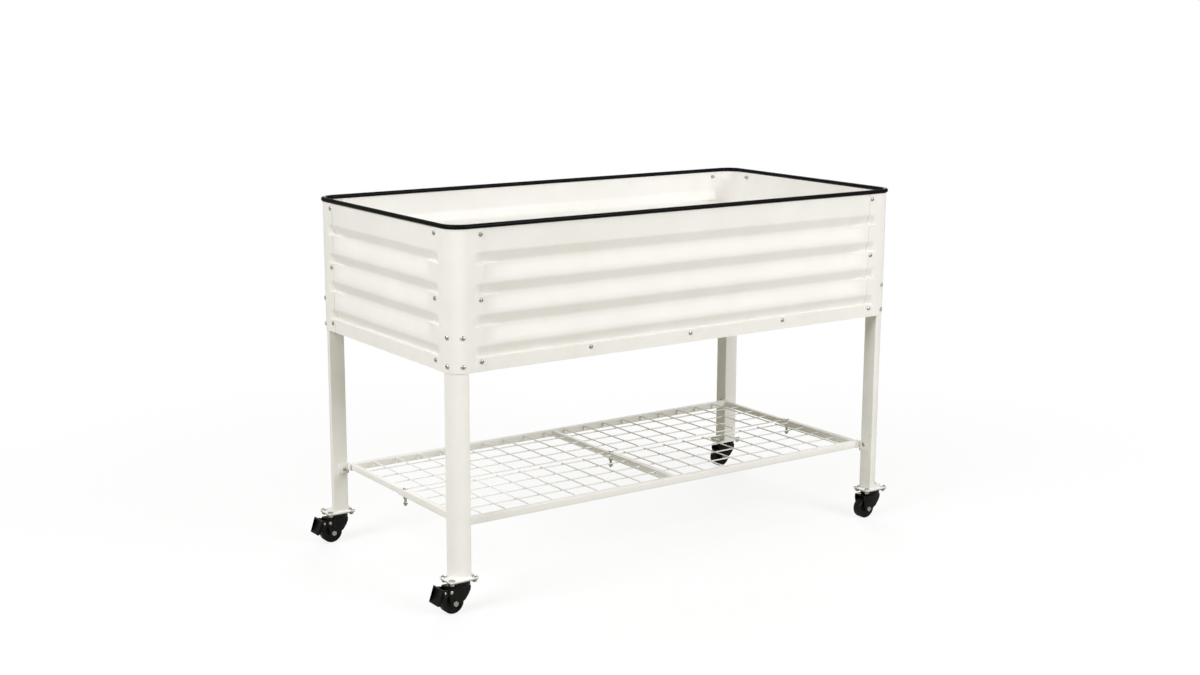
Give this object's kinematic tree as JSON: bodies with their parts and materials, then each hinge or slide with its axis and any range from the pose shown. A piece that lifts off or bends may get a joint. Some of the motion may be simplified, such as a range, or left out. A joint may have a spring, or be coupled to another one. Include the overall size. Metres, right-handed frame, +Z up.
{
  "type": "rolling planter",
  "caption": "Raised corrugated steel planter bed on legs with swivel casters, with a bolted wire shelf below it and foot brakes at one end.",
  "frame": {"origin": "the point on the floor under the middle of the bed", "axes": "+X along the bed's length towards the end without foot brakes, +Z up, -Y the front"},
  "size_m": [1.2755, 0.6184, 0.818],
  "materials": {
    "cream_steel": "warm white powder coat, satin",
    "zinc_steel": "bright zinc plate",
    "trim_rubber": "satin black",
    "black_steel": "satin black",
    "wheel_nylon": "matte black",
    "pedal_nylon": "satin black"
  },
  "bodies": {
    "planter": {"corner_panel_front_left": "cream_steel", "corner_panel_front_right": "cream_steel", "corner_panel_back_left": "cream_steel", "corner_panel_back_right": "cream_steel", "front_wall": "cream_steel", "back_wall": "cream_steel", "left_wall": "cream_steel", "right_wall": "cream_steel", "floor_panel_left": "cream_steel", "floor_panel_right": "cream_steel", "cross_support_left": "cream_steel", "cross_support_middle": "cream_steel", "cross_support_right": "cream_steel", "rim_trim": "trim_rubber", "leg_front_left": "cream_steel", "leg_front_right": "cream_steel", "leg_back_left": "cream_steel", "leg_back_right": "cream_steel", "wall_screws": "zinc_steel", "wall_nuts": "zinc_steel", "leg_screws": "zinc_steel", "leg_weld_nuts": "zinc_steel", "support_screws": "zinc_steel", "support_nuts": "zinc_steel", "shelf_front_frame": "cream_steel", "shelf_back_frame": "cream_steel", "shelf_front_mesh": "cream_steel", "shelf_back_mesh": "cream_steel", "shelf_joint_bolts": "zinc_steel", "shelf_joint_nuts": "zinc_steel", "shelf_corner_screws": "zinc_steel", "caster_plate_front_left": "zinc_steel", "caster_plate_front_right": "zinc_steel", "caster_plate_back_left": "zinc_steel", "caster_plate_back_right": "zinc_steel", "caster_bolts": "zinc_steel", "caster_nuts": "zinc_steel"},
    "swivel_front_left": {"fork_front_left": "black_steel", "ball_race_front_left": "zinc_steel", "axle_front_left": "zinc_steel", "brake_rivets_front_left": "zinc_steel"},
    "wheel_front_left": {"wheel_front_left": "wheel_nylon"},
    "brake_front_left": {"brake_pedal_front_left": "pedal_nylon", "brake_pin_front_left": "zinc_steel"},
    "swivel_front_right": {"fork_front_right": "black_steel", "ball_race_front_right": "zinc_steel", "axle_front_right": "zinc_steel"},
    "wheel_front_right": {"wheel_front_right": "wheel_nylon"},
    "swivel_back_left": {"fork_back_left": "black_steel", "ball_race_back_left": "zinc_steel", "axle_back_left": "zinc_steel", "brake_rivets_back_left": "zinc_steel"},
    "wheel_back_left": {"wheel_back_left": "wheel_nylon"},
    "brake_back_left": {"brake_pedal_back_left": "pedal_nylon", "brake_pin_back_left": "zinc_steel"},
    "swivel_back_right": {"fork_back_right": "black_steel", "ball_race_back_right": "zinc_steel", "axle_back_right": "zinc_steel"},
    "wheel_back_right": {"wheel_back_right": "wheel_nylon"}
  },
  "joints": [
    {"name": "swivel_front_left_turn", "type": "hinge", "parent": "planter", "child": "swivel_front_left", "pos_m": [-0.58875, -0.28425, 0.0655], "axis": [0, 0, 1], "continuous": true},
    {"name": "wheel_front_left_roll", "type": "hinge", "parent": "swivel_front_left", "child": "wheel_front_left", "pos_m": [-0.60875, -0.28425, 0.025], "axis": [0, 1, 0], "continuous": true},
    {"name": "brake_front_left_press", "type": "hinge", "parent": "swivel_front_left", "child": "brake_front_left", "pos_m": [-0.61675, -0.28425, 0.05], "axis": [0, -1, 0], "range_deg": [0, 12]},
    {"name": "swivel_front_right_turn", "type": "hinge", "parent": "planter", "child": "swivel_front_right", "pos_m": [0.58875, -0.28425, 0.0655], "axis": [0, 0, 1], "continuous": true},
    {"name": "wheel_front_right_roll", "type": "hinge", "parent": "swivel_front_right", "child": "wheel_front_right", "pos_m": [0.56875, -0.28425, 0.025], "axis": [0, 1, 0], "continuous": true},
    {"name": "swivel_back_left_turn", "type": "hinge", "parent": "planter", "child": "swivel_back_left", "pos_m": [-0.58875, 0.28425, 0.0655], "axis": [0, 0, 1], "continuous": true},
    {"name": "wheel_back_left_roll", "type": "hinge", "parent": "swivel_back_left", "child": "wheel_back_left", "pos_m": [-0.60875, 0.28425, 0.025], "axis": [0, 1, 0], "continuous": true},
    {"name": "brake_back_left_press", "type": "hinge", "parent": "swivel_back_left", "child": "brake_back_left", "pos_m": [-0.61675, 0.28425, 0.05], "axis": [0, -1, 0], "range_deg": [0, 12]},
    {"name": "swivel_back_right_turn", "type": "hinge", "parent": "planter", "child": "swivel_back_right", "pos_m": [0.58875, 0.28425, 0.0655], "axis": [0, 0, 1], "continuous": true},
    {"name": "wheel_back_right_roll", "type": "hinge", "parent": "swivel_back_right", "child": "wheel_back_right", "pos_m": [0.56875, 0.28425, 0.025], "axis": [0, 1, 0], "continuous": true}
  ]
}
